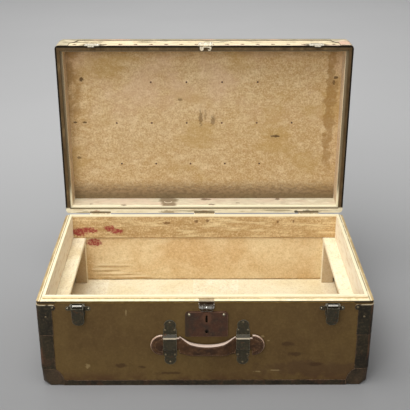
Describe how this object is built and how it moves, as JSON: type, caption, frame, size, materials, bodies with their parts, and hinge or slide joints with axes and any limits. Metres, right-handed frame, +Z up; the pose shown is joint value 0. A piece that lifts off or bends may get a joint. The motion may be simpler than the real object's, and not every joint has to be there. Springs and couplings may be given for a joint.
{
  "type": "travel trunk",
  "caption": "Flat hinged travel trunk of finger-jointed boards under canvas, with draw latches, a hasp lock, a leather handle and tray rails, shown open.",
  "frame": {"origin": "Centre of the flat underside of the case body, on the surface that it stands on.", "axes": "+X to the right along the case's width seen from the front, +Y from the front with the lock to the back with the hinges, +Z up from the ground."},
  "size_m": [0.7036, 0.5206, 0.6461],
  "materials": {
    "pine": "dry sawn boards",
    "canvas": "painted canvas, worn",
    "binding_cloth": "worn cloth binding",
    "lining": "cotton lining, stained",
    "covered_wood": "wood covered with lining cloth",
    "panel_lining": "faded lining cloth",
    "fibre": "vulcanised fibre, rubbed",
    "fibre_caps": "moulded fibre, rubbed",
    "nickel": "dull nickel plate",
    "japanned_iron": "worn black enamel",
    "lock_iron": "brown rusted enamel",
    "brass": "dull brass",
    "leather": "stitched saddle leather"
  },
  "bodies": {
    "case": {"body_front_board": "pine", "body_back_board": "pine", "body_left_board": "pine", "body_right_board": "pine", "body_bottom_board": "pine", "body_canvas": "canvas", "body_rim_binding": "binding_cloth", "floor_battens": "pine", "floor_board": "pine", "floor_lining": "lining", "wall_lining": "lining", "collar_front": "pine", "collar_back": "pine", "collar_left": "pine", "collar_right": "pine", "collar_lining": "lining", "tray_rail_left": "covered_wood", "tray_rail_right": "covered_wood", "rail_posts": "covered_wood", "corner_strips": "fibre", "upper_corner_pieces": "fibre", "base_corner_caps": "fibre_caps", "base_binding": "fibre", "hinge_body_leaves": "nickel", "hinge_pins": "nickel", "latch_left_plate": "japanned_iron", "latch_right_plate": "japanned_iron", "latch_lever_pins": "nickel", "lock_plate": "lock_iron", "lock_keep": "nickel", "lock_works": "brass", "handle_loop_left": "japanned_iron", "handle_loop_right": "japanned_iron", "body_rivets": "nickel"},
    "lid": {"lid_front_board": "pine", "lid_back_board": "pine", "lid_left_board": "pine", "lid_right_board": "pine", "lid_top_board": "pine", "lid_canvas": "canvas", "lid_rim_binding": "binding_cloth", "lid_liner_boards": "covered_wood", "lid_lining_panel": "panel_lining", "lid_lining_tacks": "japanned_iron", "lid_corner_strips": "fibre", "lid_corner_caps": "fibre_caps", "lid_edge_binding": "fibre", "hinge_lid_leaves": "nickel", "lid_catches": "nickel", "hasp_plate": "nickel", "lid_rivets": "nickel"},
    "hasp_flap": {"hasp_flap": "nickel"},
    "latch_left_lever": {"latch_left_lever": "japanned_iron"},
    "latch_left_claw": {"latch_left_claw": "nickel"},
    "latch_right_lever": {"latch_right_lever": "japanned_iron"},
    "latch_right_claw": {"latch_right_claw": "nickel"},
    "lock_bolt": {"lock_bolt": "brass"},
    "handle": {"handle_grip": "leather"}
  },
  "joints": [
    {"name": "lid_hinge", "type": "hinge", "parent": "case", "child": "lid", "pos_m": [0, 0.2174, 0.2086], "axis": [1, 0, 0], "range_deg": [0, 90]},
    {"name": "hasp_hinge", "type": "hinge", "parent": "lid", "child": "hasp_flap", "pos_m": [0.003, 0.2135, 0.6434], "axis": [-1, 0, 0], "range_deg": [0, 90]},
    {"name": "latch_left_lever_hinge", "type": "hinge", "parent": "case", "child": "latch_left_lever", "pos_m": [-0.264, -0.2214, 0.2025], "axis": [-1, 0, 0], "range_deg": [0, 120]},
    {"name": "latch_left_claw_hinge", "type": "hinge", "parent": "latch_left_lever", "child": "latch_left_claw", "pos_m": [-0.264, -0.2186, 0.1805], "axis": [-1, 0, 0], "range_deg": [0, 12]},
    {"name": "latch_right_lever_hinge", "type": "hinge", "parent": "case", "child": "latch_right_lever", "pos_m": [0.264, -0.2214, 0.2025], "axis": [-1, 0, 0], "range_deg": [0, 120]},
    {"name": "latch_right_claw_hinge", "type": "hinge", "parent": "latch_right_lever", "child": "latch_right_claw", "pos_m": [0.264, -0.2186, 0.1805], "axis": [-1, 0, 0], "range_deg": [0, 12]},
    {"name": "lock_bolt_slide", "type": "slide", "parent": "case", "child": "lock_bolt", "axis": [1, 0, 0], "range_m": [0, 0.005]},
    {"name": "handle_slide", "type": "slide", "parent": "case", "child": "handle", "axis": [1, 0, 0], "range_m": [-0.005, 0.001]}
  ],
  "couplings": [
    {"joint": "hasp_hinge", "follows": "lid_hinge", "ratio": 1}
  ]
}
